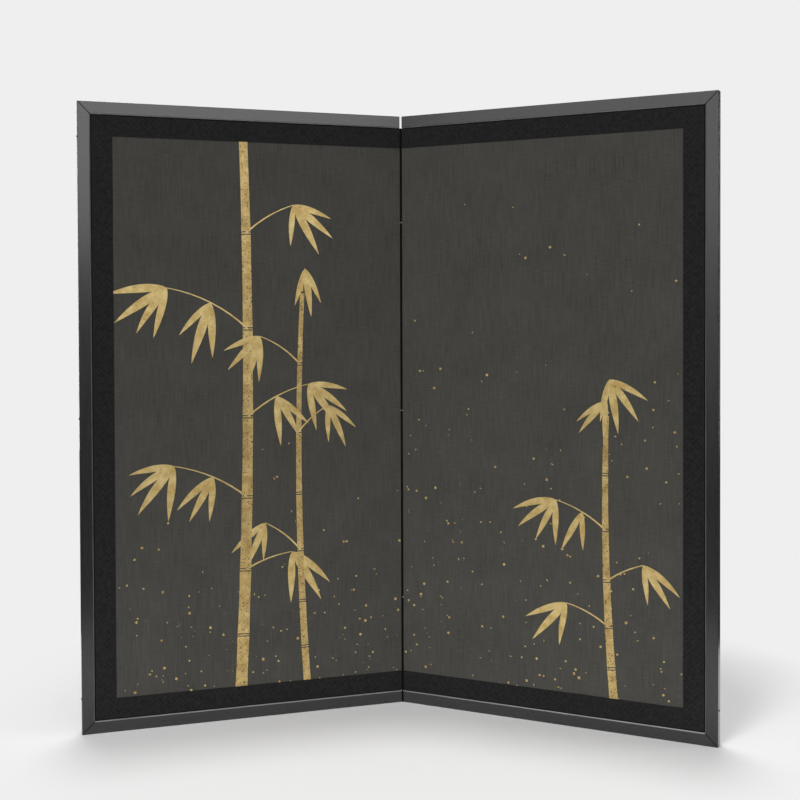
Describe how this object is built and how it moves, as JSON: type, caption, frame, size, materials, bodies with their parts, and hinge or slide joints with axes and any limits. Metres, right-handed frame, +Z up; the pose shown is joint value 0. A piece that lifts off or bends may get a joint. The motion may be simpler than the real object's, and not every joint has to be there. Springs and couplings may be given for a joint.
{
  "type": "folding screen",
  "caption": "Folding screen of hinged panels: papered lattice cores in dark lacquered frames, joined by paper hinges that fold both ways, free-standing.",
  "frame": {"origin": "on the floor, at the centre of the bounding box of the screen as it stands open, under the space between its two panels", "axes": "+Z up; +X to the viewer's right, from the left panel to the right one; +Y away from the viewer, from the open side towards the fold"},
  "size_m": [0.9098, 0.1922, 0.909],
  "materials": {
    "frame_lacquer": "satin dark grey lacquer on wood",
    "core_wood": "planed softwood",
    "lining_paper": "layered paper, dark where it shows in the groove",
    "picture_silk": "charcoal silk with gold leaf design",
    "border_cloth": "black figured cloth",
    "back_paper": "plain dark paper",
    "hinge_paper": "black paper",
    "pin_metal": "dark, worn"
  },
  "bodies": {
    "hinge_webs_a": {"hinge_web_1": "hinge_paper", "hinge_web_3": "hinge_paper"},
    "left_panel": {"left_back_hinge_paper": "hinge_paper", "left_back_lining": "lining_paper", "left_back_paper": "back_paper", "left_bottom_border": "border_cloth", "left_bottom_rail": "frame_lacquer", "left_core_bar_1": "core_wood", "left_core_bar_2": "core_wood", "left_core_bar_3": "core_wood", "left_core_bar_4": "core_wood", "left_core_bar_5": "core_wood", "left_core_bar_6": "core_wood", "left_core_bar_7": "core_wood", "left_core_bottom_rail": "core_wood", "left_core_fold_stile": "core_wood", "left_core_gussets": "core_wood", "left_core_outer_stile": "core_wood", "left_core_top_rail": "core_wood", "left_core_upright_1": "core_wood", "left_core_upright_2": "core_wood", "left_core_upright_3": "core_wood", "left_frame_pins": "pin_metal", "left_front_hinge_paper": "hinge_paper", "left_front_lining": "lining_paper", "left_outer_stile": "frame_lacquer", "left_picture_sheet": "picture_silk", "left_side_border": "border_cloth", "left_top_border": "border_cloth", "left_top_rail": "frame_lacquer"},
    "right_panel": {"right_back_hinge_paper": "hinge_paper", "right_back_lining": "lining_paper", "right_back_paper": "back_paper", "right_bottom_border": "border_cloth", "right_bottom_rail": "frame_lacquer", "right_core_bar_1": "core_wood", "right_core_bar_2": "core_wood", "right_core_bar_3": "core_wood", "right_core_bar_4": "core_wood", "right_core_bar_5": "core_wood", "right_core_bar_6": "core_wood", "right_core_bar_7": "core_wood", "right_core_bottom_rail": "core_wood", "right_core_fold_stile": "core_wood", "right_core_gussets": "core_wood", "right_core_outer_stile": "core_wood", "right_core_top_rail": "core_wood", "right_core_upright_1": "core_wood", "right_core_upright_2": "core_wood", "right_core_upright_3": "core_wood", "right_frame_pins": "pin_metal", "right_front_hinge_paper": "hinge_paper", "right_front_lining": "lining_paper", "right_outer_stile": "frame_lacquer", "right_picture_sheet": "picture_silk", "right_side_border": "border_cloth", "right_top_border": "border_cloth", "right_top_rail": "frame_lacquer"},
    "hinge_webs_b": {"hinge_web_2": "hinge_paper", "hinge_web_4": "hinge_paper"}
  },
  "joints": [
    {"name": "fold_inward", "type": "hinge", "parent": "hinge_webs_a", "child": "left_panel", "pos_m": [0, 0.08136, 0.4545], "axis": [0, 0, -1], "range_deg": [-136.8, 43.2]},
    {"name": "fold_outward", "type": "hinge", "parent": "hinge_webs_a", "child": "right_panel", "pos_m": [0.00574, 0.09586, 0.4545], "axis": [0, 0, 1], "range_deg": [0, 180]},
    {"name": "web_turn", "type": "hinge", "parent": "right_panel", "child": "hinge_webs_b", "pos_m": [0, 0.08136, 0.4545], "axis": [0, 0, 1], "range_deg": [-43.2, 136.8]}
  ],
  "couplings": [
    {"joint": "web_turn", "follows": "fold_inward", "ratio": -1}
  ]
}
